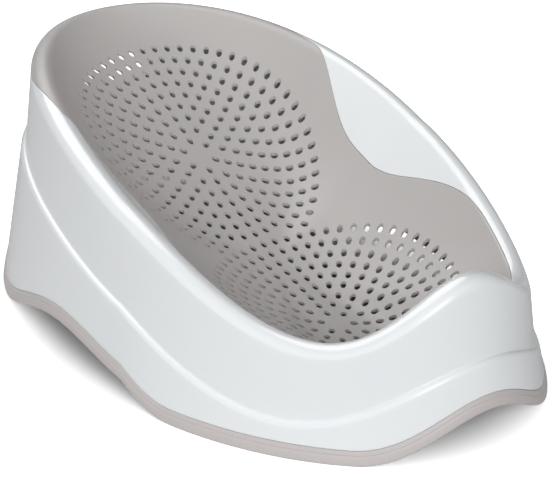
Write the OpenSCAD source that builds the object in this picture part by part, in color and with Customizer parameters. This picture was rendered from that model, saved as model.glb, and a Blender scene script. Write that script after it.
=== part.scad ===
// Reclining bath seat for a baby: a moulded shell with a rolled rim, a soft
// perforated seat bonded into it, and a soft edging round the foot of the shell.
// Units are millimetres. X is to the right, Y to the back, Z up, and the feet
// stand on z = 0. Every outline is symmetric about the plane x = 0, and an
// angle of 0 looks to the front, 90 to the right and 180 to the back.

/* [Base outline] */

// Length of the base at the floor, front to back
base_length = 557; // [500:1:620]
// Width of the base at the floor
base_width = 365; // [345:1:410]
// Distance from the front of the base to its widest section
base_widest_at = 243; // [200:1:290]
// Fullness of the front curve of the base: 2 is an ellipse, more is squarer
base_front_power = 1.85; // [1.7:0.05:2.4]
// Fullness of the back curve of the base
base_back_power = 2.55; // [2:0.05:3.2]

/* [Rim] */

// Length of the rim roll, front to back, along its centre
rim_length = 495; // [450:1:510]
// Width of the rim roll along its centre
rim_width = 304; // [285:1:320]
// Distance from the front of the base back to the front of the rim roll
rim_setback = 39; // [25:1:55]
// Distance from the front of the rim roll to its widest section
rim_widest_at = 239; // [200:1:270]
// Fullness of the front curve of the rim
rim_front_power = 2.2; // [2:0.05:2.5]
// Fullness of the back curve of the rim
rim_back_power = 2; // [1.9:0.05:2.4]
// Radius of the rolled rim
rim_roll_r = 11.3; // [10:0.1:13]
// Height of the roll's centre at the back
back_height = 196.5; // [170:0.5:225]
// Height of the roll's centre at the two dips for the legs
dip_height = 77.4; // [70:0.1:95]
// Angle from the front at which the legs' dips are lowest
dip_angle = 41; // [36:1:48]
// Height of the roll's centre on the hump between the legs
hump_height = 128; // [110:0.5:145]

/* [Shell] */

// Wall thickness of the shell
wall = 3; // [2.4:0.1:3.6]
// How far the upper wall steps in above the design line
step_depth = 3.6; // [2:0.1:5]
// Height of the design line at the leg dips
line_low = 26; // [24:0.5:34]
// Height of the design line at the front
line_front = 71; // [55:0.5:85]
// Height of the design line at the back
line_back = 130; // [110:0.5:150]
// Height of the arch between the front feet
front_arch_height = 35; // [15:0.5:40]
// Half the angle that the front arch spans
front_arch_span = 36; // [28:1:38]
// Height of the arches between the front and back feet
side_arch_height = 29; // [12:0.5:36]
// Half the angle that each side arch spans
side_arch_span = 28; // [20:1:30]
// Angle from the front to the middle of each side arch
side_arch_angle = 103; // [96:1:108]
// Height of the arch between the back feet
back_arch_height = 30; // [12:0.5:36]
// Half the angle that the back arch spans
back_arch_span = 43; // [36:1:46]
// Width of the hand hold in the back wall, at its lower edge
grip_width = 132; // [90:1:150]
// Height of the lower edge of the hand hold above the floor
grip_bottom = 132; // [124:0.5:140]
// Height of the hand hold itself
grip_height = 38; // [26:0.5:42]
// Corner radius of the hand hold
grip_corner_r = 11; // [6:0.5:12]

/* [Soft seat] */

// Thickness of the soft seat
seat_thickness = 2.8; // [2:0.1:3.4]
// Height of the seat's valley at mid length
valley_height = 62.7; // [56:0.1:68]
// Climb of the valley toward the back, in mm per mm
valley_slope = 0.433; // [0.38:0.005:0.48]
// How fast that climb grows, per 1000 mm
valley_curve = 1.32; // [1:0.01:1.6]
// How late the seat turns up under the hump: more is a steeper front wall
front_turn_up = 7.4; // [5:0.1:9]
// How late the seat turns up at the sides
side_turn_up = 2.15; // [1.9:0.05:2.6]
// How late the seat turns up at the back
back_turn_up = 3.45; // [2.6:0.05:4.2]
// Depth to which the white wall bays cut into the seat, as a share of its half width
bay_depth = 0.4; // [0.3:0.01:0.42]
// Angle of the deepest point of each bay
bay_angle = 97; // [93:1:100]
// Length by which the seat laps over the shell's ledge
lap = 11; // [8:0.5:14]
// Clearance between the soft pieces and the shell
fit_gap = 0.25; // [0.15:0.05:0.4]

/* [Drain holes] */

// Rings of holes in each of the two patterns
ring_count = 9; // [5:1:9]
// Radius of the first ring
first_ring_r = 13.9; // [12:0.1:16]
// Distance from ring to ring
ring_pitch = 10.75; // [9:0.05:11]
// Holes that each ring gains over the one inside it
holes_per_step = 6; // [4:1:6]
// Width of a hole across its ring
hole_width = 4.6; // [3.6:0.1:5.2]
// Length of a hole, away from the middle of its pattern
hole_length = 6.4; // [5:0.1:7.4]
// Place of the seat pattern's middle along Y
seat_centre_y = -85.3; // [-92:0.1:-78]
// Distance between the middles of the two patterns
pattern_spacing = 189.8; // [180:0.1:196]

/* [Base edging] */

// Height of the edging's outer band
band_height = 11.8; // [10:0.1:14]
// How far the band stands proud of the shell
band_proud = 1.4; // [0.6:0.1:2.2]
// Thickness of the band
band_thickness = 3; // [2.4:0.1:3.6]
// Thickness of the edging's sole under the shell
sole = 3; // [2:0.1:4]
// Height of the edging's inner lip
inner_lip_height = 8; // [6:0.1:10]
// Thickness of the edging's inner lip
inner_lip = 2.4; // [1.8:0.1:3]

/* [Hidden] */

// Sections round the outline, drawn closer together by crowding at the leg dips and
// at the ends of the cap, and stations along one section
sections = 80;
crowding = 6;
crowded_at = 121;
roll_stations = 8;
lap_stations = 8;
inner_stations = 4;

// Rings of the bowl: share of the way to the ledge, and sections from point to point
bowl_rings = [[0.27, 4], [0.52, 2], [0.7, 1], [0.82, 1], [0.92, 1]];

// Where the soft seat ends on the path of a section: inside the rim, and as a cap over it
rim_end = 1.17;
cap_end = 2.12;
bay_front_angle = 52;
bay_back_angle = 142;
ledge_end = 0.93;

y_front = -base_length / 2;
base_y = y_front + base_widest_at;
rim_y = y_front + rim_setback + rim_widest_at;
rebate = band_thickness - band_proud + fit_gap;
step_rise = 2.4;
back_arch_rise = 20;
ledge_drop = seat_thickness + fit_gap;
rim_inset = 0.7 * rim_roll_r;
back_centre_y = seat_centre_y + pattern_spacing;

function mirrored(t) = t > 180 ? 360 - t : t;
function smooth(u) = (1 - cos(180 * min(1, max(0, u)))) / 2;
function swell(a, span) = a < span ? (1 + cos(180 * a / span)) / 2 : 0;
function unit2(v) = v / max(1e-9, norm(v));
function unit3(v) = v / max(1e-9, norm(v));

// One point of a closed outline made of two half superellipses
function outline(t, w, yc, front, back, pf, pb) =
    let (s = sin(t), c = cos(t), p = c > 0 ? pf : pb, reach = c > 0 ? front : back)
    [w / 2 * sign(s) * pow(abs(s), 2 / p), yc - sign(c) * reach * pow(abs(c), 2 / p)];

// Outward direction of such an outline in plan
function outline_normal(t, w, front, back, pf, pb) =
    let (s = sin(t), c = cos(t), p = c > 0 ? pf : pb, reach = c > 0 ? front : back)
    let (k = 2 * (p - 1) / p)
    unit2([sign(s) * pow(abs(s), k) / (w / 2), -sign(c) * pow(abs(c), k) / reach]);

function base_point(t) = outline(t, base_width, base_y, base_widest_at,
    base_length - base_widest_at, base_front_power, base_back_power);
function base_out(t) = outline_normal(t, base_width, base_widest_at,
    base_length - base_widest_at, base_front_power, base_back_power);
function rim_point(t) = outline(t, rim_width, rim_y, rim_widest_at,
    rim_length - rim_widest_at, rim_front_power, rim_back_power);
function rim_out(t) = outline_normal(t, rim_width, rim_widest_at,
    rim_length - rim_widest_at, rim_front_power, rim_back_power);

// Height of the roll's centre: hump, leg dip, then the long climb to the back
function rim_z(t) =
    let (a = mirrored(t), u = max(0, (a - dip_angle) / (180 - dip_angle)))
    dip_height
        + (hump_height - dip_height) * swell(dip_angle * pow(min(1, a / dip_angle), 0.9), dip_angle)
        + (back_height - dip_height) * smooth(1 - pow(1 - u, 1.7));

// Height of the stepped design line
function line_z(t) =
    let (a = mirrored(t), u = max(0, (a - dip_angle - 9) / (171 - dip_angle)))
    line_low + (line_front - line_low) * swell(a, dip_angle + 9)
        + (line_back - line_low) * smooth(1 - pow(1 - min(1, u), 1.7));

// Height of the lower edge: the feet are at 0, with an arch between each two
function arch_z(t) =
    let (a = mirrored(t))
    front_arch_height * swell(a, front_arch_span)
        + side_arch_height * swell(abs(a - side_arch_angle), side_arch_span)
        + back_arch_height * smooth((a - 180 + back_arch_span) / back_arch_rise);

// Angle of each section, with the closest spacing at crowded_at and a quarter turn before it
function spaced(u) = u - crowding * (sin(2 * (u - crowded_at + crowding)) + sin(2 * (crowded_at - crowding)));
function section_angle(i) =
    let (u = 360 * i / sections)
    u > 180 ? 360 - spaced(360 - u) : spaced(u);
angles = [for (i = [0:sections - 1]) section_angle(i)];

// A point of the outer wall at height h, moved in by d
function wall_point(t, h, d) =
    let (w = h / rim_z(t), b = base_point(t), o = rim_point(t) + rim_roll_r * rim_out(t))
    let (n = unit2((1 - w) * base_out(t) + w * rim_out(t)), q = b + (o - b) * w - d * n)
    [q[0], q[1], h];

// The seat's surface: a valley that turns up to the rim on every side
function valley(y) = valley_height + valley_slope * y + valley_curve / 1000 * y * y;
function turn_up(a) = side_turn_up + (front_turn_up - side_turn_up) * swell(a, dip_angle + 6)
    + (back_turn_up - side_turn_up) * smooth((a - 95) / 34);
function roll_point(t, f, r) =
    let (c = rim_point(t), n = rim_out(t))
    [c[0] + r * cos(f) * n[0], c[1] + r * cos(f) * n[1], rim_z(t) + r * sin(f)];

// Angle at which the bowl leaves the roll, from the bowl's own slope there
function lip_angle(t) =
    let (e = roll_point(t, 139, rim_roll_r), m = [0, rim_y], reach = norm([e[0], e[1]] - m))
    let (rise = e[2] - valley(e[1]), run = unit2([e[0], e[1]] - m))
    let (grad = (valley_slope + 2 * valley_curve / 1000 * e[1]) * run[1])
    90 + min(76, max(24, atan(grad + turn_up(mirrored(t)) * rise / reach)));

// Angle at which the wall runs into the roll, and the top of the design line's step
function lean(t) =
    let (b = base_point(t), o = rim_point(t) + rim_roll_r * rim_out(t))
    atan2(norm(o - b), rim_z(t));
function step_top(t) = wall_point(t, line_z(t) + step_rise, step_depth);

// The path of one section: 0 at the middle of the bowl, 1 at the roll, 2 where the roll
// meets the outer wall, and 3 at the foot of the upper wall
function path_point(t, s) =
    let (f = lip_angle(t), g = lean(t))
    s > 2 ? let (a = roll_point(t, g, rim_roll_r), b = step_top(t)) a + (b - a) * (s - 2)
    : s >= 1 ? roll_point(t, f + (g - f) * (s - 1), rim_roll_r)
    : let (e = roll_point(t, f, rim_roll_r), y = rim_y + s * (e[1] - rim_y))
    [s * e[0], y, valley(y) + (e[2] - valley(e[1])) * pow(s, turn_up(mirrored(t)))];
function path_normal(t, s) =
    s < 0.02 ? unit3([0, -valley_slope, 1])
    : unit3(cross(path_point(t + 0.6, s) - path_point(t - 0.6, s),
        path_point(t, s - 0.015) - path_point(t, s + 0.015)));
function path_at(t, s, d) = path_point(t, s) - d * path_normal(t, s);

// Where the soft seat ends along the path: on the roll, in a bay, or past the roll as a cap
function seat_end(t) =
    let (a = mirrored(t), floor_s = rim_end - bay_depth)
    a < bay_angle ? rim_end - bay_depth * smooth((a - bay_front_angle) / (bay_angle - bay_front_angle))
    : let (v = min(1, (a - bay_angle) / (bay_back_angle - bay_angle)))
    floor_s + (cap_end - floor_s) * smooth(pow(v, 1.2));
function half_reach(t) = norm([path_point(t, 1)[0], path_point(t, 1)[1] - rim_y]);
function ledge_start(t) = min(ledge_end, seat_end(t) - lap / half_reach(t));
function seat_edge(t) =
    let (e = seat_end(t), roll = rim_roll_r * PI / 180 * (lip_angle(t) - lean(t)))
    e - fit_gap / (e < 1 ? half_reach(t) : e < 2 ? roll : rim_z(t) - line_z(t));

// Closed loops of points, one per section, joined into a ring of facets
function ring_faces(n, m) = [
    for (i = [0:n - 1]) for (j = [0:m - 1])
        let (a = i * m, b = (i + 1) % n * m, k = (j + 1) % m)
        for (f = [[a + j, b + k, b + j], [a + j, a + k, b + k]]) f
];

module ring(loops) {
    polyhedron(points = [for (l = loops) for (p = l) p],
        faces = ring_faces(len(loops), len(loops[0])), convexity = 12);
}

// One section of the shell: up the outside, over the roll, along the ledge, back inside
function shell_loop(t) =
    let (low = arch_z(t) + sole + fit_gap, band = arch_z(t) + band_height + fit_gap)
    let (step_z = line_z(t), e = seat_end(t), g = ledge_start(t), in = ledge_drop + wall)
    let (n = roll_stations, m = inner_stations)
    concat(
        [wall_point(t, low, rebate), wall_point(t, band, rebate), wall_point(t, band, 0)],
        [wall_point(t, (band + step_z) / 2, 0), wall_point(t, step_z - 1.8, 0),
            wall_point(t, step_z + 0.6, 0.9), step_top(t)],
        [path_at(t, (3 + max(e, 2)) / 2, 0)],
        [for (i = [0:n]) path_at(t, e + (max(2, e + 0.2) - e) * (n - i) / n, 0)],
        [for (i = [0:lap_stations]) path_at(t, e - (e - g) * i / lap_stations, ledge_drop)],
        [for (i = [0:m]) path_at(t, g + (e - g) * i / m, in)],
        [for (i = [1:m]) path_at(t, e + (3 - e) * pow(i / m, 1.5), wall)],
        [wall_point(t, step_z - 4, wall), wall_point(t, band + 3, wall), wall_point(t, low, wall)]
    );

module rounded_grip() {
    r = grip_corner_r;
    side = grip_height * 0.78;
    corners = [[-grip_width / 2, 0, 20], [grip_width / 2, 0, 20],
        [grip_width / 2 - side, grip_height, 20], [side - grip_width / 2, grip_height, 20]];
    polygon([
        for (i = [0:3])
            let (p = corners[i], a = corners[(i + 3) % 4], b = corners[(i + 1) % 4])
            let (u = unit2([a[0] - p[0], a[1] - p[1]]), v = unit2([b[0] - p[0], b[1] - p[1]]))
            let (half = acos(u * v) / 2, m = unit2(u + v), c = [p[0], p[1]] + m * r / sin(half))
            for (k = [-1:0.5:1])
                let (g = atan2(-m[1], -m[0]) + k * (90 - half))
                c + r * [cos(g), sin(g)]
    ]);
}

// The rigid shell, with the hand hold cut through its back wall
module shell() {
    color([0.94, 0.95, 0.95])
    difference() {
        ring([for (t = angles) shell_loop(t)]);
        translate([0, base_length / 2 + 10, grip_bottom])
            rotate([90, 0, 0])
                linear_extrude(45) rounded_grip();
    }
}

// Middle and direction of every drain hole in one pattern
function ring_holes(yc) = [
    for (k = [0:ring_count - 1])
        let (n = holes_per_step * (k + 1), r = first_ring_r + k * ring_pitch)
        for (j = [0:n - 1])
            let (a = 360 * j / n)
            [r * sin(a), yc - r * cos(a), a]
];

// Share of the way from the middle of the bowl to its edge, for a point in plan
function reach_share(x, y) =
    let (d = y - rim_y, front = d < 0, p = front ? rim_front_power : rim_back_power)
    let (l = front ? rim_widest_at : rim_length - rim_widest_at, w = rim_width / 2)
    let (u = abs(x) / (w - rim_inset), v = abs(d) / (l - rim_inset), s = pow(pow(u, p) + pow(v, p), 1 / p))
    [s, atan2(pow(u, p / 2), (front ? 1 : -1) * pow(v, p / 2))];

function is_clear(h) =
    let (q = reach_share(h[0], h[1]))
    q[0] < ledge_start(q[1]) - (hole_length / 2 + 1) / (rim_width / 2);

function all_holes() =
    let (last = first_ring_r + (ring_count - 1) * ring_pitch)
    [
        for (h = ring_holes(seat_centre_y)) if (is_clear(h)) h,
        for (h = ring_holes(back_centre_y))
            if (is_clear(h) && norm([h[0], h[1] - seat_centre_y]) > last + 0.75 * ring_pitch) h
    ];

module drain_hole() {
    reach = (hole_length - hole_width) / 2;
    for (y = [-reach, reach])
        translate([0, y])
            circle(d = hole_width, $fn = 16);
    square([hole_width, 2 * reach], center = true);
}

// Facets between two rings of points, where the coarser ring may skip every other section
function ring_start(steps, k) = k == 0 ? 0 : ring_start(steps, k - 1) + sections / steps[k - 1];
function band_faces(a, p, b, q) =
    let (step = max(p, q), n = sections / step)
    [
        for (i = [0:n - 1])
            let (a0 = a + i * step / p, a1 = a + (i + 1) % n * step / p, am = a0 + 1)
            let (b0 = b + i * step / q, b1 = b + (i + 1) % n * step / q, bm = b0 + 1)
            for (f = p == q ? [[a0, b1, b0], [a0, a1, b1]]
                : p > q ? [[a0, bm, b0], [a0, a1, bm], [a1, b1, bm]]
                : [[a0, am, b0], [am, b1, b0], [am, a1, b1]]) f
    ];

// The soft seat as a blank: a skin of even thickness from the bowl out over the rim
module seat_blank() {
    n = len(bowl_rings);
    last = n + lap_stations;
    function ring_at(t, k) =
        let (e = seat_end(t), g = ledge_start(t))
        k < n ? bowl_rings[k][0] * g
        : k < last ? g + (e - g) * (k - n) / lap_stations
        : seat_edge(t);
    top_steps = [for (k = [0:last]) k < n ? bowl_rings[k][1] : 1];
    steps = concat(top_steps, [for (k = [last:-1:0]) top_steps[k]]);
    points = [
        for (k = [0:2 * last + 1])
            let (j = min(k, 2 * last + 1 - k), d = k > last ? seat_thickness : 0)
            for (i = [0:steps[k]:sections - 1]) path_at(angles[i], ring_at(angles[i], j), d)
    ];
    skin = [
        for (k = [0:2 * last])
            for (f = band_faces(ring_start(steps, k), steps[k], ring_start(steps, k + 1), steps[k + 1])) f
    ];
    m = sections / steps[0];
    total = len(points);
    caps = [
        for (i = [0:m - 1])
            let (j = (i + 1) % m)
            for (f = [[total, j, i], [total + 1, total - m + i, total - m + j]]) f
    ];
    polyhedron(points = concat(points, [path_at(0, 0, 0), path_at(0, 0, seat_thickness)]),
        faces = concat(skin, caps), convexity = 12);
}

module soft_seat() {
    color([0.72, 0.68, 0.66])
    difference() {
        seat_blank();
        for (h = all_holes())
            translate([h[0], h[1], 0])
                rotate(h[2])
                    linear_extrude(back_height) drain_hole();
    }
}

// One section of the edging: a channel that takes the lower edge of the shell
function edging_loop(t) =
    let (z = arch_z(t), in = wall + fit_gap)
    [
        wall_point(t, z, -band_proud * 0.4),
        wall_point(t, z + 2.6, -band_proud),
        wall_point(t, z + band_height - 1.8, -band_proud),
        wall_point(t, z + band_height, -band_proud * 0.3),
        wall_point(t, z + band_height, rebate - fit_gap),
        wall_point(t, z + sole, rebate - fit_gap),
        wall_point(t, z + sole, in),
        wall_point(t, z + inner_lip_height, in),
        wall_point(t, z + inner_lip_height, in + inner_lip),
        wall_point(t, z, in + inner_lip)
    ];

module base_edging() {
    color([0.66, 0.62, 0.60])
    ring([for (t = angles) edging_loop(t)]);
}

shell();
soft_seat();
base_edging();
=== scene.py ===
"""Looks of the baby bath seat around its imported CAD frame."""

import math

import bmesh
import bpy
import numpy as np
from mathutils import Matrix, Vector
from mathutils.geometry import delaunay_2d_cdt


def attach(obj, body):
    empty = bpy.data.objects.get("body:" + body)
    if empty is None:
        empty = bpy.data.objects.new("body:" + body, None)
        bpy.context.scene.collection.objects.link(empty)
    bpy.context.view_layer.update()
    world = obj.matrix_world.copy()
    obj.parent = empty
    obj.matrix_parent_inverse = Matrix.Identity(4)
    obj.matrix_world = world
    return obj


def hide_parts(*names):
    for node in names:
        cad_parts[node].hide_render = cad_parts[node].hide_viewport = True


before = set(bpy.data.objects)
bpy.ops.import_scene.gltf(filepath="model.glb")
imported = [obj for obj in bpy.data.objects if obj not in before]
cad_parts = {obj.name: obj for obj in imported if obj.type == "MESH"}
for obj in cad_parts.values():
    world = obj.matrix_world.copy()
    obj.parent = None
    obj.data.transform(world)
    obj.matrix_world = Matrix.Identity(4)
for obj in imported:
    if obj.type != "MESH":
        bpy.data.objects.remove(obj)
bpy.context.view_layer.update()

# Sizes of the part, in millimetres and degrees, as in its source. The seat's edge is the
# exception: it is given here as distances along the section, fitted to the photo.
# Angles run from 0 at the front over 90 at +X to 180 at the back.

# Foot: length, width, widest place from the front, fullness of the front and back halves
BASE_L, BASE_W, BASE_AT, BASE_PF, BASE_PB = 557.0, 365.0, 243.0, 1.85, 2.55
# Rim: length, width, setback, widest place, fullness in front and behind, radius of the roll
RIM_L, RIM_W, RIM_SET, RIM_AT, RIM_PF, RIM_PB, ROLL = 495.0, 304.0, 39.0, 239.0, 2.2, 2.0, 11.3
# Whole height, height and angle of the dips beside the hump, and height of the hump
TOTAL_H, DIP_H, DIP_A, HUMP_H = 207.8, 77.4, 41.0, 128.0
# How the hump narrows, and how early the rim and the design line climb to the back
HUMP_EASE, BACK_CLIMB = 0.9, 1.7
# Shell's wall, and the step of the design line with its rise
WALL, STEP, STEP_RISE = 3.0, 3.6, 2.4
# Height of the design line at its lowest, in front and behind, and where past the dip it turns
LINE_LOW, LINE_FRONT, LINE_BACK, LINE_TURN = 26.0, 71.0, 130.0, 9.0
# Arches of the foot: height and half the angle, and the middle of the side arch
FRONT_ARCH, FRONT_SPAN, SIDE_ARCH, SIDE_SPAN, SIDE_AT = 35.0, 36.0, 29.0, 28.0, 103.0
BACK_ARCH, BACK_SPAN, BACK_RISE = 30.0, 43.0, 20.0
# Hand hold: width, lower edge, height and corner radius
GRIP_W, GRIP_Z, GRIP_H, GRIP_R = 132.0, 132.0, 38.0, 11.0
# Seat: thickness, and height, slope and curve of the line along its middle
SEAT_T, VALLEY_H, VALLEY_S, VALLEY_C = 2.8, 62.7, 0.433, 1.32e-3
# How late the bowl turns up in front, at the sides and behind, and where that changes
TURN_F, TURN_S, TURN_B = 7.4, 2.15, 3.45
TURN_SPREAD, TURN_FROM, TURN_OVER = 6.0, 95.0, 34.0
# First guess, lowest and highest slope of the angle at which the bowl meets the roll
LIP_GUESS, LIP_LOW, LIP_HIGH = 139.0, 24.0, 76.0
# Seat's edge: lap over the roll, depth of the bays, start and end of the cap, ledge, clearance
RIM_LAP, BAY_DEPTH, CAP_START, CAP_LENGTH, LAP, GAP = 2.4, 31.5, 6.4, 27.4, 11.0, 0.25
# Angles of the bay's front end, its deepest place and its back end, and of the cap's ends
BAY_F, BAY_A, BAY_B, CAP_FROM, CAP_TO = 60.5, 93.0, 117.0, 107.0, 144.0
BAY_EASE, CLIMB_EASE, LEDGE = 1.4, 1.85, 0.93
# Drain holes: rings, first radius, spacing, holes added a ring, width and length of a hole
RINGS, RING_R, RING_P, PER_STEP, HOLE_W, HOLE_L = 9, 13.9, 10.75, 6, 4.6, 6.4
# Edging: height, proud face, thickness, sole, and height and thickness of its inner lip
BAND_H, PROUD, BAND_T, SOLE, LIP_H, LIP_T = 11.8, 1.4, 3.0, 3.0, 8.0, 2.4
BACK_H = TOTAL_H - ROLL
Y0 = -BASE_L / 2
SEAT_Y, SPACING = Y0 + 193.2, 189.8
BASE_Y = Y0 + BASE_AT
RIM_Y = Y0 + RIM_SET + RIM_AT
REBATE = BAND_T - PROUD + GAP
DROP = SEAT_T + GAP

# Details of the denser meshes, which the solids don't have
SECTIONS = 432
SOFT_EDGE = 0.45
HOLE_SIDES, HOLE_CHAMFER = 22, 0.5
SHEET_STEP, SHEET_INSET, HOLE_MARGIN = 4.2, 0.006, 1.9
FACE_INSET = 0.25  # the edging's smooth curve stays inside the solid's facets
NORMAL_T, NORMAL_S = 0.5, 0.012
GRIP_CUT, GRIP_BACK, GRIP_BEVEL, SHARP = (234.0, 303.0), 238.0, 0.8, 50.0
MM = 0.001


def fold(t):
    t = np.mod(t, 360.0)
    return np.where(t > 180, 360 - t, t)


def smooth(u):
    return (1 - np.cos(np.pi * np.clip(u, 0, 1))) / 2


def swell(a, span):
    return np.where(a < span, (1 + np.cos(np.pi * np.minimum(a / span, 1))) / 2, 0.0)


def unit(v):
    return v / np.maximum(1e-12, np.linalg.norm(v, axis=-1, keepdims=True))


def outline(t, w, yc, front, back, pf, pb):
    """A closed outline made of two half superellipses, and its outward direction."""
    s, c = np.sin(np.radians(t)), np.cos(np.radians(t))
    p = np.where(c > 0, pf, pb)
    reach = np.where(c > 0, front, back)
    k = 2 * (p - 1) / p
    x = w / 2 * np.sign(s) * np.abs(s) ** (2 / p)
    y = yc - np.sign(c) * reach * np.abs(c) ** (2 / p)
    out_x = np.sign(s) * np.abs(s) ** k / (w / 2)
    out_y = -np.sign(c) * np.abs(c) ** k / reach
    return np.stack([x, y], -1), unit(np.stack([out_x, out_y], -1))


def base(t):
    return outline(t, BASE_W, BASE_Y, BASE_AT, BASE_L - BASE_AT, BASE_PF, BASE_PB)


def rim(t):
    return outline(t, RIM_W, RIM_Y, RIM_AT, RIM_L - RIM_AT, RIM_PF, RIM_PB)


def rim_z(t):
    a = fold(t)
    u = np.clip((a - DIP_A) / (180 - DIP_A), 0, 1)
    hump = (HUMP_H - DIP_H) * swell(DIP_A * np.minimum(1, a / DIP_A) ** HUMP_EASE, DIP_A)
    return DIP_H + hump + (BACK_H - DIP_H) * smooth(1 - (1 - u) ** BACK_CLIMB)


def line_z(t):
    a = fold(t)
    low = DIP_A + LINE_TURN
    u = np.clip((a - low) / (180 - low), 0, 1)
    front = (LINE_FRONT - LINE_LOW) * swell(a, low)
    return LINE_LOW + front + (LINE_BACK - LINE_LOW) * smooth(1 - (1 - u) ** BACK_CLIMB)


def arch_z(t):
    a = fold(t)
    sides = FRONT_ARCH * swell(a, FRONT_SPAN) + SIDE_ARCH * swell(np.abs(a - SIDE_AT), SIDE_SPAN)
    return sides + BACK_ARCH * smooth((a - 180 + BACK_SPAN) / BACK_RISE)


def wall(t, h, d):
    """A point of the outer wall at height h, moved in by d."""
    t, h, d = np.broadcast_arrays(np.asarray(t, float), h, d)
    b, bn = base(t)
    r, rn = rim(t)
    w = (h / rim_z(t))[..., None]
    q = b + (r + ROLL * rn - b) * w - d[..., None] * unit((1 - w) * bn + w * rn)
    return np.concatenate([q, h[..., None].astype(float)], -1)


def valley(y):
    return VALLEY_H + VALLEY_S * y + VALLEY_C * y**2


def turn_up(t):
    a = fold(t)
    front = (TURN_F - TURN_S) * swell(a, DIP_A + TURN_SPREAD)
    return TURN_S + front + (TURN_B - TURN_S) * smooth((a - TURN_FROM) / TURN_OVER)


def on_roll(t, f):
    c, n = rim(t)
    f = np.radians(f)
    plan = c + (ROLL * np.cos(f))[..., None] * n
    return np.concatenate([plan, (rim_z(t) + ROLL * np.sin(f))[..., None]], -1)


def lip_angle(t):
    e = on_roll(t, LIP_GUESS + 0 * t)
    away = e[..., :2] - np.array([0, RIM_Y])
    reach = np.linalg.norm(away, axis=-1)
    rise = e[..., 2] - valley(e[..., 1])
    grad = (VALLEY_S + 2 * VALLEY_C * e[..., 1]) * away[..., 1] / reach
    slope = np.degrees(np.arctan(grad + turn_up(t) * rise / reach))
    return 90 + np.clip(slope, LIP_LOW, LIP_HIGH)


def lean(t):
    b, _ = base(t)
    r, n = rim(t)
    return np.degrees(np.arctan2(np.linalg.norm(r + ROLL * n - b, axis=-1), rim_z(t)))


def path(t, s):
    """One section: s is 0 in the bowl's middle, 1 at the roll, 2 at the wall, 3 at the line."""
    t, s = np.broadcast_arrays(np.asarray(t, float), np.asarray(s, float))
    f, g = lip_angle(t), lean(t)
    e = on_roll(t, f)
    k = np.clip(s, 0, 1)
    y = RIM_Y + k * (e[..., 1] - RIM_Y)
    rise = (e[..., 2] - valley(e[..., 1])) * k ** turn_up(t)
    bowl = np.stack([k * e[..., 0], y, valley(y) + rise], -1)
    roll = on_roll(t, f + (g - f) * (np.clip(s, 1, 2) - 1))
    a = on_roll(t, g)
    foot = wall(t, line_z(t) + STEP_RISE, STEP)
    upright = a + (foot - a) * (np.maximum(s, 2) - 2)[..., None]
    return np.where((s < 1)[..., None], bowl, np.where((s <= 2)[..., None], roll, upright))


def path_normal(t, s):
    t, s = np.broadcast_arrays(np.asarray(t, float), np.asarray(s, float))
    around = path(t + NORMAL_T, s) - path(t - NORMAL_T, s)
    inward = path(t, s - NORMAL_S) - path(t, s + NORMAL_S)
    n = unit(np.cross(around, inward))
    return np.where((s < 0.02)[..., None], unit(np.array([0, -VALLEY_S, 1.0])), n)


def path_at(t, s, d):
    t, s, d = np.broadcast_arrays(np.asarray(t, float), np.asarray(s, float), np.asarray(d, float))
    return path(t, s) - d[..., None] * path_normal(t, s)


def half_reach(t):
    return np.linalg.norm(path(t, 1.0 + 0 * t)[..., :2] - np.array([0, RIM_Y]), axis=-1)


def at_distance(t, d):
    """The path's s at a distance d from the inner edge of the roll, below 0 in the bowl."""
    roll = ROLL * np.radians(lip_angle(t) - lean(t))
    past = 2 + (d - roll) / (rim_z(t) - line_z(t))
    return np.where(d < 0, 1 + d / half_reach(t), np.where(d < roll, 1 + d / roll, past))


def end_distance(t):
    """Where the seat ends, as a distance from the inner edge of the roll."""
    a = fold(t)
    into = np.maximum(0, (a - BAY_F) / (BAY_A - BAY_F)) ** BAY_EASE
    front = RIM_LAP - (RIM_LAP + BAY_DEPTH) * smooth(into)
    out_of = np.clip((a - BAY_A) / (BAY_B - BAY_A), 0, 1) ** CLIMB_EASE
    climb = (BAY_DEPTH + CAP_START) * smooth(out_of)
    cap = (CAP_LENGTH - CAP_START) * smooth((a - CAP_FROM) / (CAP_TO - CAP_FROM))
    return np.where(a < BAY_A, front, climb + cap - BAY_DEPTH)


def seat_end(t):
    return at_distance(t, end_distance(t))


def ledge_start(t):
    return np.minimum(LEDGE, seat_end(t) - LAP / half_reach(t))


def stations(low, high, n, power=1.0):
    """n steps from low to high, with low and high given for each section."""
    u = np.linspace(0, 1, n + 1) ** power
    return low[:, None] + (high - low)[:, None] * u[None, :]


def new_object(name, verts, faces, normals=None, smooth_faces=True):
    mesh = bpy.data.meshes.new(name)
    mesh.from_pydata((np.asarray(verts) * MM).tolist(), [], faces)
    mesh.validate()
    mesh.update()
    if smooth_faces:
        mesh.polygons.foreach_set("use_smooth", [True] * len(mesh.polygons))
    if normals is not None:
        mesh.normals_split_custom_set_from_vertices(normals.tolist())
    obj = bpy.data.objects.new(name, mesh)
    bpy.context.scene.collection.objects.link(obj)
    return obj


def loft(loops):
    """Vertices and quads of closed section loops, one per section, joined into a ring."""
    n, m = loops.shape[:2]
    i, j = np.meshgrid(np.arange(n), np.arange(m), indexing="ij")
    k, l = (i + 1) % n, (j + 1) % m
    quads = np.stack([i * m + j, k * m + j, k * m + l, i * m + l], -1).reshape(-1, 4)
    return loops.reshape(-1, 3), quads.tolist()


ANGLES = np.arange(SECTIONS) * 360.0 / SECTIONS


# The rigid shell


def bezier(p, n):
    """n points of a cubic curve, from p[0] to p[3]."""
    u = np.linspace(0, 1, n)[:, None]
    p = np.asarray(p, float)
    v = 1 - u
    return v**3 * p[0] + 3 * u * v**2 * p[1] + 3 * u * u * v * p[2] + u**3 * p[3]


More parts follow.
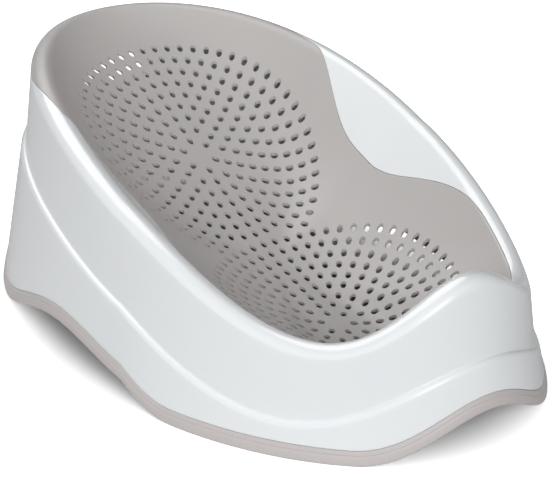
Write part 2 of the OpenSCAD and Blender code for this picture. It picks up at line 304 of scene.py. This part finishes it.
def shell_loops():
    """Closed sections of the shell: up the outside, over the roll, and down the inside."""
    t = ANGLES
    low = arch_z(t) + SOLE + GAP
    band = arch_z(t) + BAND_H + GAP
    line = line_z(t)
    e, g = seat_end(t), ledge_start(t)
    rows = []

    def at_wall(h, d):
        rows.append(wall(t, h, d))

    def on_path(s, d):
        for k in range(s.shape[1]):
            rows.append(path_at(t, s[:, k], d))

    for k in range(4):
        at_wall(low + (band - low) * k / 3, REBATE)
    for d, z in ((1.0, 0.0), (0.5, 0.0), (0.2, 0.08), (0.06, 0.25), (0.0, 0.55)):
        at_wall(band + z, d)
    foot, top = band + 0.55, line - STEP_RISE
    for k in range(1, 13):
        at_wall(foot + (top - foot) * k / 12, 0.0)
    for d, z in bezier([(0, -STEP_RISE), (0, 0.5), (1.0, 1.9), (2.9, 2.3)], 9)[1:]:
        at_wall(line + z, d)
    for d, z in bezier([(2.9, 2.3), (3.3, 2.38), (3.55, 2.7), (3.56, 3.5)], 5)[1:]:
        at_wall(line + z, d)
    height = rim_z(t) - line
    inner = np.maximum(2.0, e + 0.2)
    on_path(stations(3 - 1.9 / height, inner, 14), 0)
    end = end_distance(t)
    on_path(stations(inner, at_distance(t, end + 0.4), 36)[:, 1:], 0)
    for k, d in ((0.16, 0.02), (0.05, 0.08), (0.0, 0.25)):
        rows.append(path_at(t, at_distance(t, end + k), d))
    on_path(stations(e, g, 30), DROP)
    on_path(stations(g, e, 10), DROP + WALL)
    on_path(stations(e, 3 + 0 * e, 24, 1.3)[:, 1:], WALL)
    for k in range(8):
        at_wall(line - 4 + (low - line + 4) * k / 7, WALL)
    return np.stack(rows, 1)


def grip_outline():
    """The rounded outline of the hand hold in the X-Z plane."""
    half_w, side = GRIP_W / 2, GRIP_H * 0.78
    corners = np.array(
        [(-half_w, 0), (half_w, 0), (half_w - side, GRIP_H), (side - half_w, GRIP_H)], float
    )
    points = []
    for i in range(4):
        p, a, b = corners[i], corners[i - 1], corners[(i + 1) % 4]
        u, v = unit(a - p), unit(b - p)
        half = math.acos(float(u @ v)) / 2
        m = unit(u + v)
        c = p + m * GRIP_R / math.sin(half)
        start = math.atan2(-m[1], -m[0])
        for k in np.linspace(-1, 1, 13):
            q = start + k * (math.pi / 2 - half)
            points.append(c + GRIP_R * np.array([math.cos(q), math.sin(q)]))
    return np.array(points) + np.array([0, GRIP_Z])


def build_shell():
    verts, faces = loft(shell_loops())
    obj = new_object("shell_body", verts, faces)
    ring = grip_outline()
    n = len(ring)
    cut = [(x, y, z) for y in GRIP_CUT for x, z in ring]
    sides = [(i, (i + 1) % n, n + (i + 1) % n, n + i) for i in range(n)]
    ends = [tuple(range(n))[::-1], tuple(range(n, 2 * n))]
    cutter = new_object("grip_cutter", cut, sides + ends, smooth_faces=False)
    cut_mesh = bmesh.new()
    cut_mesh.from_mesh(cutter.data)
    bmesh.ops.recalc_face_normals(cut_mesh, faces=cut_mesh.faces)
    cut_mesh.to_mesh(cutter.data)
    cut_mesh.free()
    mod = obj.modifiers.new("hand_hold", "BOOLEAN")
    mod.operation, mod.object, mod.solver = "DIFFERENCE", cutter, "EXACT"
    graph = bpy.context.evaluated_depsgraph_get()
    mesh = bpy.data.meshes.new_from_object(obj.evaluated_get(graph))
    obj.modifiers.clear()
    obj.data = mesh
    mesh.name = "shell_body"
    bpy.data.objects.remove(cutter)
    bm = bmesh.new()
    bm.from_mesh(mesh)

    def at_grip(v):
        x, z = abs(v.co.x) / MM, v.co.z / MM
        return x < GRIP_W / 2 + 2 and GRIP_Z - 2 < z < GRIP_Z + GRIP_H + 2

    edges = []
    for edge in bm.edges:
        if len(edge.link_faces) != 2 or edge.verts[0].co.y < GRIP_BACK * MM:
            continue
        if edge.calc_face_angle(0) > 0.9 and all(at_grip(v) for v in edge.verts):
            edges.append(edge)
    bmesh.ops.bevel(
        bm,
        geom=edges,
        offset=GRIP_BEVEL * MM,
        segments=3,
        profile=0.5,
        affect="EDGES",
        clamp_overlap=True,
    )
    bm.to_mesh(mesh)
    bm.free()
    mesh.polygons.foreach_set("use_smooth", [True] * len(mesh.polygons))
    mesh.set_sharp_from_angle(angle=math.radians(SHARP))
    return obj


# The soft perforated seat


def drain_holes():
    """Middle and direction of every drain hole that the bowl has room for."""
    table = np.arange(0, 360.0, 0.25)
    bearing, reach = away_from_middle(path(table, 1.0 + 0 * table)[:, :2])
    order = np.argsort(bearing)
    found = []
    last = RING_R + (RINGS - 1) * RING_P
    for centre in (SEAT_Y, SEAT_Y + SPACING):
        for k in range(RINGS):
            r = RING_R + k * RING_P
            n = PER_STEP * (k + 1)
            for j in range(n):
                a = 2 * math.pi * j / n
                x, y = r * math.sin(a), centre - r * math.cos(a)
                if centre != SEAT_Y and math.hypot(x, y - SEAT_Y) <= last + 0.75 * RING_P:
                    continue
                front = y < RIM_Y
                p = RIM_PF if front else RIM_PB
                inner = 0.7 * ROLL
                length = (RIM_AT if front else RIM_L - RIM_AT) - inner
                u, v = abs(x) / (RIM_W / 2 - inner), abs(y - RIM_Y) / length
                share = (u**p + v**p) ** (1 / p)
                toward = v ** (p / 2) if front else -(v ** (p / 2))
                ledge = ledge_start(np.array(math.degrees(math.atan2(u ** (p / 2), toward))))
                if share < float(ledge) - (HOLE_L / 2 + 1) / (RIM_W / 2):
                    found.append((x, y, a))
    return found, (table[order], bearing[order], reach[order])


def away_from_middle(xy):
    """Bearing in degrees from the front and distance, from the bowl's middle."""
    away = xy - np.array([0, RIM_Y])
    bearing = np.mod(np.degrees(np.arctan2(away[:, 0], -away[:, 1])), 360)
    return bearing, np.linalg.norm(away, axis=1)


def to_section(xy, table):
    """Angle and share of the bowl for points in plan."""
    t, bearing, reach = table
    b, distance = away_from_middle(xy)
    around = np.concatenate([bearing - 360, bearing, bearing + 360])
    ang = np.interp(b, around, np.unwrap(np.concatenate([t, t, t]), period=360))
    r = np.interp(b, around, np.concatenate([reach] * 3))
    return np.mod(ang, 360), distance / r


def build_seat():
    holes, table = drain_holes()
    t = ANGLES
    end = end_distance(t) - GAP
    start = ledge_start(t) - SHEET_INSET
    rows, norms = [], []

    def row(s, d, lean_out=0.0):
        """One ring of the strip; lean_out 0 is the top, 0.5 the edge and 1 the underside."""
        n = path_normal(t, s)
        along = unit(path(t, s + 0.01) - path(t, s - 0.01))
        q = lean_out * math.pi
        rows.append(path(t, s) - d * n)
        norms.append(math.cos(q) * n + math.sin(q) * along)

    for s in stations(start, at_distance(t, end - SOFT_EDGE), 46).T:
        row(s, 0.0)
    for k in range(1, 7):
        q = math.pi / 2 * k / 6
        back, down = SOFT_EDGE * (1 - math.sin(q)), SOFT_EDGE * (1 - math.cos(q))
        row(at_distance(t, end - back), down, 0.5 * k / 6)
    row(at_distance(t, end), SEAT_T - 0.3, 0.5)
    row(at_distance(t, end - 0.3), SEAT_T, 1.0)
    for s in stations(at_distance(t, end - 0.3), start, 24).T[1:]:
        row(s, SEAT_T, 1.0)
    strip = np.stack(rows, 1)
    strip_n = np.stack(norms, 1)
    n, m = strip.shape[:2]
    verts = [strip.reshape(-1, 3)]
    normals = [strip_n.reshape(-1, 3)]
    i, j = np.meshgrid(np.arange(n), np.arange(m - 1), indexing="ij")
    k = (i + 1) % n
    quads = np.stack([i * m + j, i * m + j + 1, k * m + j + 1, k * m + j], -1)
    faces = quads.reshape(-1, 4).tolist()
    count = n * m

    sides = HOLE_SIDES
    q = np.arange(sides) * 2 * math.pi / sides

    def loop(hole, grow):
        """The outline of a hole in plan, an oval with slightly full sides."""
        x, y, a = hole
        half_w, half_l = HOLE_W / 2 + grow, HOLE_L / 2 + grow
        u, v = half_w * np.cos(q), half_l * np.sin(q)
        u = np.sign(u) * np.abs(u / half_w) ** 0.9 * half_w
        across = x + u * math.cos(a) - v * math.sin(a)
        return np.stack([across, y + u * math.sin(a) + v * math.cos(a)], -1)

    wide = [loop(h, HOLE_CHAMFER) for h in holes]
    tight = [loop(h, 0.0) for h in holes]
    columns = np.arange(-150, 150.1, SHEET_STEP)
    gx, gy = np.meshgrid(columns, np.arange(-245, 260.1, SHEET_STEP * 0.866))
    gx[1::2] += SHEET_STEP / 2
    grid = np.stack([gx.ravel(), gy.ravel()], -1)
    ang, share = to_section(grid, table)
    room = ledge_start(ang) - SHEET_INSET - 2.2 / 140
    grid = grid[share < room]
    centres = np.array([h[:2] for h in holes])
    turn = np.array([h[2] for h in holes])
    near = np.zeros(len(grid), bool)
    for c, a in zip(centres, turn):
        dx, dy = (grid - c).T
        u = dx * math.cos(a) + dy * math.sin(a)
        v = -dx * math.sin(a) + dy * math.cos(a)
        half_w, half_l = HOLE_W / 2 + HOLE_MARGIN, HOLE_L / 2 + HOLE_MARGIN
        near |= (u / half_w) ** 2 + (v / half_l) ** 2 < 1
    grid = grid[~near]

    def surface(xy, under):
        """Points of the sheet's top or underside over places in plan, and their normals."""
        a, s = to_section(xy, table)
        top = path(a, s)
        nrm = path_normal(a, s)
        z = top[:, 2] - (SEAT_T / np.maximum(0.3, nrm[:, 2]) if under else 0)
        return np.column_stack([xy, z]), nrm

    def sheet(ring_index, under):
        """Adds the perforated sheet inside one ring; returns the first index of its holes."""
        nonlocal count
        ring = np.arange(n) * m + ring_index
        rim_xy = strip[:, ring_index, :2]
        flat = np.concatenate([rim_xy] + wide + [grid])
        links = [(a, (a + 1) % n) for a in range(n)]
        for h in range(len(wide)):
            first = n + h * sides
            links += [(first + a, first + (a + 1) % sides) for a in range(sides)]
        out = delaunay_2d_cdt([Vector(p) for p in flat.tolist()], links, [], 1, 1e-5, True)
        origin = [o[0] if o else -1 for o in out[3]]
        body, nrm = surface(np.concatenate(wide + [grid]), under)
        verts.append(body)
        normals.append(-nrm if under else nrm)
        base_index = count
        count += len(body)
        hole_of = np.repeat(np.arange(len(wide)), sides)
        kinds = np.concatenate([np.full(n, -1), hole_of, np.full(len(grid), -2)])
        ring_bearing, ring_reach = away_from_middle(rim_xy)
        for tri in out[2]:
            ids = [origin[v] for v in tri]
            if min(ids) < 0:
                continue
            ks = kinds[ids]
            if ks[0] >= 0 and (ks == ks[0]).all():
                continue
            if (ks == -1).sum() > 1:
                b, r = away_from_middle(flat[ids].mean(axis=0)[None])
                if r[0] > np.interp(b[0], ring_bearing, ring_reach, period=360):
                    continue
            face = [int(ring[v]) if v < n else base_index + v - n for v in ids]
            faces.append(face[::-1] if under else face)
        return base_index

    top_first = sheet(0, False)
    low_first = sheet(m - 1, True)
    tight_xy = np.concatenate(tight)
    top_in, nrm = surface(tight_xy, False)
    low_in, _ = surface(tight_xy, True)
    top_in[:, 2] -= HOLE_CHAMFER
    low_in[:, 2] += HOLE_CHAMFER
    inward = np.repeat(centres, sides, axis=0) - tight_xy
    inward = unit(np.column_stack([inward, np.zeros(len(inward))]))
    mid_top, mid_low = count, count + len(top_in)
    verts += [top_in, low_in]
    normals += [inward, inward]
    count += 2 * len(top_in)
    for h in range(len(holes)):
        for a in range(sides):
            p, r = h * sides + a, h * sides + (a + 1) % sides
            for high, low in ((top_first, mid_top), (mid_top, mid_low), (mid_low, low_first)):
                faces.append([low + r, low + p, high + p, high + r])
    soft_normals = unit(np.concatenate(normals))
    return new_object("perforated_seat", np.concatenate(verts), faces, soft_normals)


# The soft edging round the foot


def build_edging():
    """A channel round the shell's lower edge: points are depth into the wall and height."""
    t = ANGLES
    z = arch_z(t)
    into = WALL + GAP
    seat = REBATE - GAP
    lip = into + LIP_T
    face = PROUD - FACE_INSET
    toe = 1.3
    profile = []
    for q in np.radians(np.linspace(-90, 0, 7)):
        profile.append((0.1 - face + toe * (1 - math.cos(q)), toe + toe * math.sin(q)))
    lower_band = ((0.0, 2.6), (0.02, 4.2), (0.1, 5.8), (0.22, 7.0), (0.4, 7.55))
    crease = ((0.62, 7.78), (0.72, 7.95), (0.68, 8.12), (0.52, 8.3), (0.5, 8.6))
    upper_band = ((0.56, 9.2), (0.72, 10.0), (0.98, 10.8))
    profile += [(d - face, h) for d, h in lower_band + crease + upper_band]
    profile += [(-0.12, 11.35), (0.0, 11.62), (0.14, 11.76), (0.4, BAND_H)]
    profile += [(seat - 0.3, BAND_H), (seat, BAND_H - 0.3), (seat, SOLE + 3)]
    profile += [(seat, SOLE + 0.3), (seat + 0.3, SOLE), (into - 0.3, SOLE), (into, SOLE + 0.3)]
    profile += [(into, LIP_H - 0.5), (into + 0.5, LIP_H), (lip - 0.8, LIP_H)]
    profile += [(lip - 0.2, LIP_H - 0.3), (lip, LIP_H - 0.9)]
    profile += [(lip, 1.0), (lip - 0.3, 0.3), (lip - 1.0, 0.0), (2.0, 0.0), (0.6, 0.0)]
    loops = np.stack([wall(t, z + h, d) for d, h in profile], 1)
    return new_object("foot_edging", *loft(loops))


# Materials: every pattern is procedural, on object coordinates


def material(name):
    mat = bpy.data.materials.new(name)
    mat.use_nodes = True
    return mat, mat.node_tree.nodes, mat.node_tree.links, mat.node_tree.nodes["Principled BSDF"]


def put(node, **values):
    """Constants on a node's sockets; an underscore stands for a space in a socket's name."""
    for name, value in values.items():
        node.inputs[name.replace("_", " ")].default_value = value


def noise(nodes, links, place, scale, detail=2.0):
    node = nodes.new("ShaderNodeTexNoise")
    put(node, Scale=scale, Detail=detail)
    links.new(place.outputs["Object"], node.inputs["Vector"])
    return node.outputs["Fac"]


def two_tones(nodes, links, value, dark, light):
    ramp = nodes.new("ShaderNodeValToRGB")
    ramp.color_ramp.elements[0].color = (*dark, 1)
    ramp.color_ramp.elements[1].color = (*light, 1)
    links.new(value, ramp.inputs["Fac"])
    return ramp.outputs["Color"]


def map_range(nodes, links, value, eased=False, **limits):
    node = nodes.new("ShaderNodeMapRange")
    if eased:
        node.interpolation_type = "SMOOTHSTEP"
    put(node, **limits)
    links.new(value, node.inputs["Value"])
    return node.outputs["Result"]


def mix_greys(nodes, links, factor, low, high):
    """A grey given as a number where factor is 0, and a linked colour where it is 1."""
    mix = nodes.new("ShaderNodeMix")
    mix.data_type = "RGBA"
    mix.inputs["A"].default_value = (low, low, low, 1)
    links.new(factor, mix.inputs["Factor"])
    links.new(high, mix.inputs["B"])
    return mix.outputs["Result"]


def moulded(name, tones, patches, grain, bump, rough, **surface):
    """Slow patches of tone and roughness with a fine relief.

    patches and grain are the scale and detail of a noise, bump is strength and distance,
    rough and tones are the two ends, and surface holds constants of the shader.
    """
    mat, nodes, links, bsdf = material(name)
    place = nodes.new("ShaderNodeTexCoord")
    patch = noise(nodes, links, place, *patches)
    links.new(two_tones(nodes, links, patch, *tones), bsdf.inputs["Base Color"])
    roughness = map_range(nodes, links, patch, To_Min=rough[0], To_Max=rough[1])
    links.new(roughness, bsdf.inputs["Roughness"])
    relief = nodes.new("ShaderNodeBump")
    put(relief, Strength=bump[0], Distance=bump[1])
    links.new(noise(nodes, links, place, *grain), relief.inputs["Height"])
    links.new(relief.outputs["Normal"], bsdf.inputs["Normal"])
    put(bsdf, **surface)
    return mat


def gloss_white():
    return moulded(
        "white_gloss_plastic",
        tones=((0.725, 0.75, 0.765), (0.745, 0.765, 0.775)),
        patches=(9.0, 2.0),
        grain=(220.0, 1.0),
        bump=(0.02, 0.0005),
        rough=(0.2, 0.27),
        IOR=1.48,
        Coat_Weight=0.25,
        Coat_Roughness=0.08,
        Subsurface_Weight=0.08,
        Subsurface_Radius=(0.004, 0.004, 0.005),
        Subsurface_Scale=1.0,
    )


def soft_grey(name, dark, light):
    return moulded(
        name,
        tones=(dark, light),
        patches=(14.0, 3.0),
        grain=(900.0, 2.0),
        bump=(0.12, 0.0002),
        rough=(0.38, 0.46),
        Specular_IOR_Level=0.45,
        Sheen_Weight=0.06,
        Sheen_Roughness=0.5,
        IOR=1.45,
    )


# Middles and half sizes, in metres, of two ellipses under the part, inside which a shadow is
# painted on the floor
PAINTED_SHADOW_ELLIPSES = (((0, 0.01, 0), (0.187, 0.268)), ((0.08, 0.19, 0), (0.12, 0.165)))


def pale_floor():
    """Near-white to the camera, and a darker grey in the light that it throws back.

    The part throws its shadow on it. Besides that, a shadow is painted on what the camera sees
    inside two ellipses under the part, and it glows a little outside them, up to white; the
    glow fades out towards the part, which softens the edge of the painted shadow.
    """
    mat, nodes, links, bsdf = material("pale_floor")
    camera_ray = nodes.new("ShaderNodeLightPath").outputs["Is Camera Ray"]
    place = nodes.new("ShaderNodeTexCoord")
    pale = two_tones(nodes, links, noise(nodes, links, place, 3.0), [0.93] * 3, [0.95] * 3)
    nearest = nodes.new("ShaderNodeMath")
    nearest.operation = "MINIMUM"
    for k, (centre, half) in enumerate(PAINTED_SHADOW_ELLIPSES):
        offset = nodes.new("ShaderNodeVectorMath")
        offset.operation = "SUBTRACT"
        offset.inputs[1].default_value = centre
        links.new(place.outputs["Object"], offset.inputs[0])
        fit = nodes.new("ShaderNodeVectorMath")
        fit.operation = "MULTIPLY"
        fit.inputs[1].default_value = (1 / half[0], 1 / half[1], 0)
        links.new(offset.outputs["Vector"], fit.inputs[0])
        away = nodes.new("ShaderNodeVectorMath")
        away.operation = "LENGTH"
        links.new(fit.outputs["Vector"], away.inputs[0])
        links.new(away.outputs["Value"], nearest.inputs[k])
    away_from_part = nearest.outputs["Value"]
    # Painted shadow: to the camera the floor's tone falls to 0.2 inside the ellipses
    under = map_range(nodes, links, away_from_part, eased=True, From_Min=0.5, From_Max=1.0)
    pale_with_painted_shadow = mix_greys(nodes, links, under, 0.2, pale)
    tone = mix_greys(nodes, links, camera_ray, 0.55, pale_with_painted_shadow)
    links.new(tone, bsdf.inputs["Base Color"])
    # The glow fades out towards the part, so the painted shadow blends into the white
    outside = map_range(
        nodes, links, away_from_part, eased=True, From_Min=0.84, From_Max=1.16, To_Max=0.7
    )
    glow = nodes.new("ShaderNodeMath")
    glow.operation = "MULTIPLY"
    links.new(outside, glow.inputs[0])
    links.new(camera_ray, glow.inputs[1])
    links.new(glow.outputs["Value"], bsdf.inputs["Emission Strength"])
    put(bsdf, Emission_Color=(1, 1, 1, 1), Roughness=0.9, Specular_IOR_Level=0.0)
    return mat


SEAT_TONES = (0.408, 0.389, 0.382), (0.428, 0.408, 0.399)
EDGING_TONES = (0.475, 0.446, 0.438), (0.497, 0.466, 0.458)
shell = build_shell()
seat = build_seat()
edging = build_edging()
for obj, node, mat in (
    (shell, "shell", gloss_white()),
    (seat, "soft_seat", soft_grey("soft_grey_seat", *SEAT_TONES)),
    (edging, "base_edging", soft_grey("soft_grey_edging", *EDGING_TONES)),
):
    obj.data.materials.append(mat)
    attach(obj, "root")
    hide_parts(node)

FLOOR_HALF = 9000
signs = ((-1, -1), (1, -1), (1, 1), (-1, 1))
floor_corners = [(x * FLOOR_HALF, y * FLOOR_HALF, 0) for x, y in signs]
floor = new_object("floor", floor_corners, [(0, 1, 2, 3)])
floor.data.materials.append(pale_floor())

scene = bpy.context.scene
scene.view_settings.view_transform = "Standard"
scene.view_settings.look = "None"

# The world: white to the camera, and to the part brightest towards the front left
SKY_SIDE = (-0.72, -0.38, -0.08)
SKY_BRIGHTEST = 1.5

world = bpy.data.worlds.new("studio")
scene.world = world
world.use_nodes = True
sky, wires = world.node_tree.nodes, world.node_tree.links
side = sky.new("ShaderNodeVectorMath")
side.operation = "DOT_PRODUCT"
side.inputs[1].default_value = SKY_SIDE
wires.new(sky.new("ShaderNodeTexCoord").outputs["Generated"], side.inputs[0])
fade = map_range(
    sky,
    wires,
    side.outputs["Value"],
    From_Min=-0.55,
    From_Max=0.75,
    To_Min=0.0,
    To_Max=SKY_BRIGHTEST,
)
backdrop = sky.new("ShaderNodeMix")
backdrop.inputs["B"].default_value = 1.0
wires.new(sky.new("ShaderNodeLightPath").outputs["Is Camera Ray"], backdrop.inputs["Factor"])
wires.new(fade, backdrop.inputs["A"])
wires.new(backdrop.outputs["Result"], sky["Background"].inputs["Strength"])
sky["Background"].inputs["Color"].default_value = (1, 1, 1, 1)


def lamp(name, azimuth, elevation, spread, strength, diffuse=True, gloss=True):
    """A far, wide soft box, seen from the part at an azimuth from the front and an elevation.

    Without diffuse it shows in reflections only, and without gloss it isn't seen in them.
    """
    data = bpy.data.lights.new(name, "SUN")
    data.angle = math.radians(spread)
    data.energy = strength
    obj = bpy.data.objects.new(name, data)
    a, e = math.radians(azimuth), math.radians(elevation)
    toward = Vector((math.sin(a) * math.cos(e), -math.cos(a) * math.cos(e), math.sin(e)))
    obj.rotation_euler = toward.to_track_quat("Z", "Y").to_euler()
    obj.visible_diffuse = diffuse
    obj.visible_glossy = gloss
    scene.collection.objects.link(obj)


lamp("front_box", -18, 28, 30, 0.9)
lamp("rim_box", 176, 57, 56, 2.9, diffuse=False)
lamp("back_box", 154, 4, 52, 2.3, gloss=False)

# The camera, solved from the rings of holes and the outlines in the photo
AZ, EL, ROLLED = math.radians(-38.51), math.radians(25.94), math.radians(-0.80)
TARGET, DISTANCE = Vector((0, 0.0065, 0.0346)), 2.268
SENSOR, LENS = 36, 174.98
PICTURE_W, PICTURE_H = 550, 481
AXIS_X, AXIS_Y = 268.92, 284.22  # pixels from the left and the top

right = Vector((math.cos(AZ), math.sin(AZ), 0))
ahead = Vector((-math.sin(AZ) * math.cos(EL), math.cos(AZ) * math.cos(EL), -math.sin(EL)))
up = right.cross(ahead)
across = right * math.cos(ROLLED) - up * math.sin(ROLLED)
upward = right * math.sin(ROLLED) + up * math.cos(ROLLED)
turn = Matrix((across, upward, -ahead)).transposed().to_4x4()
camera_data = bpy.data.cameras.new("camera")
camera = bpy.data.objects.new("camera", camera_data)
scene.collection.objects.link(camera)
camera.matrix_world = Matrix.Translation(TARGET - ahead * DISTANCE) @ turn
camera_data.sensor_width = SENSOR
camera_data.lens = LENS
camera_data.shift_x = (PICTURE_W / 2 - AXIS_X) / PICTURE_W
camera_data.shift_y = (AXIS_Y - PICTURE_H / 2) / PICTURE_W
camera_data.clip_end = 100
camera_data.dof.use_dof = False
scene.camera = camera
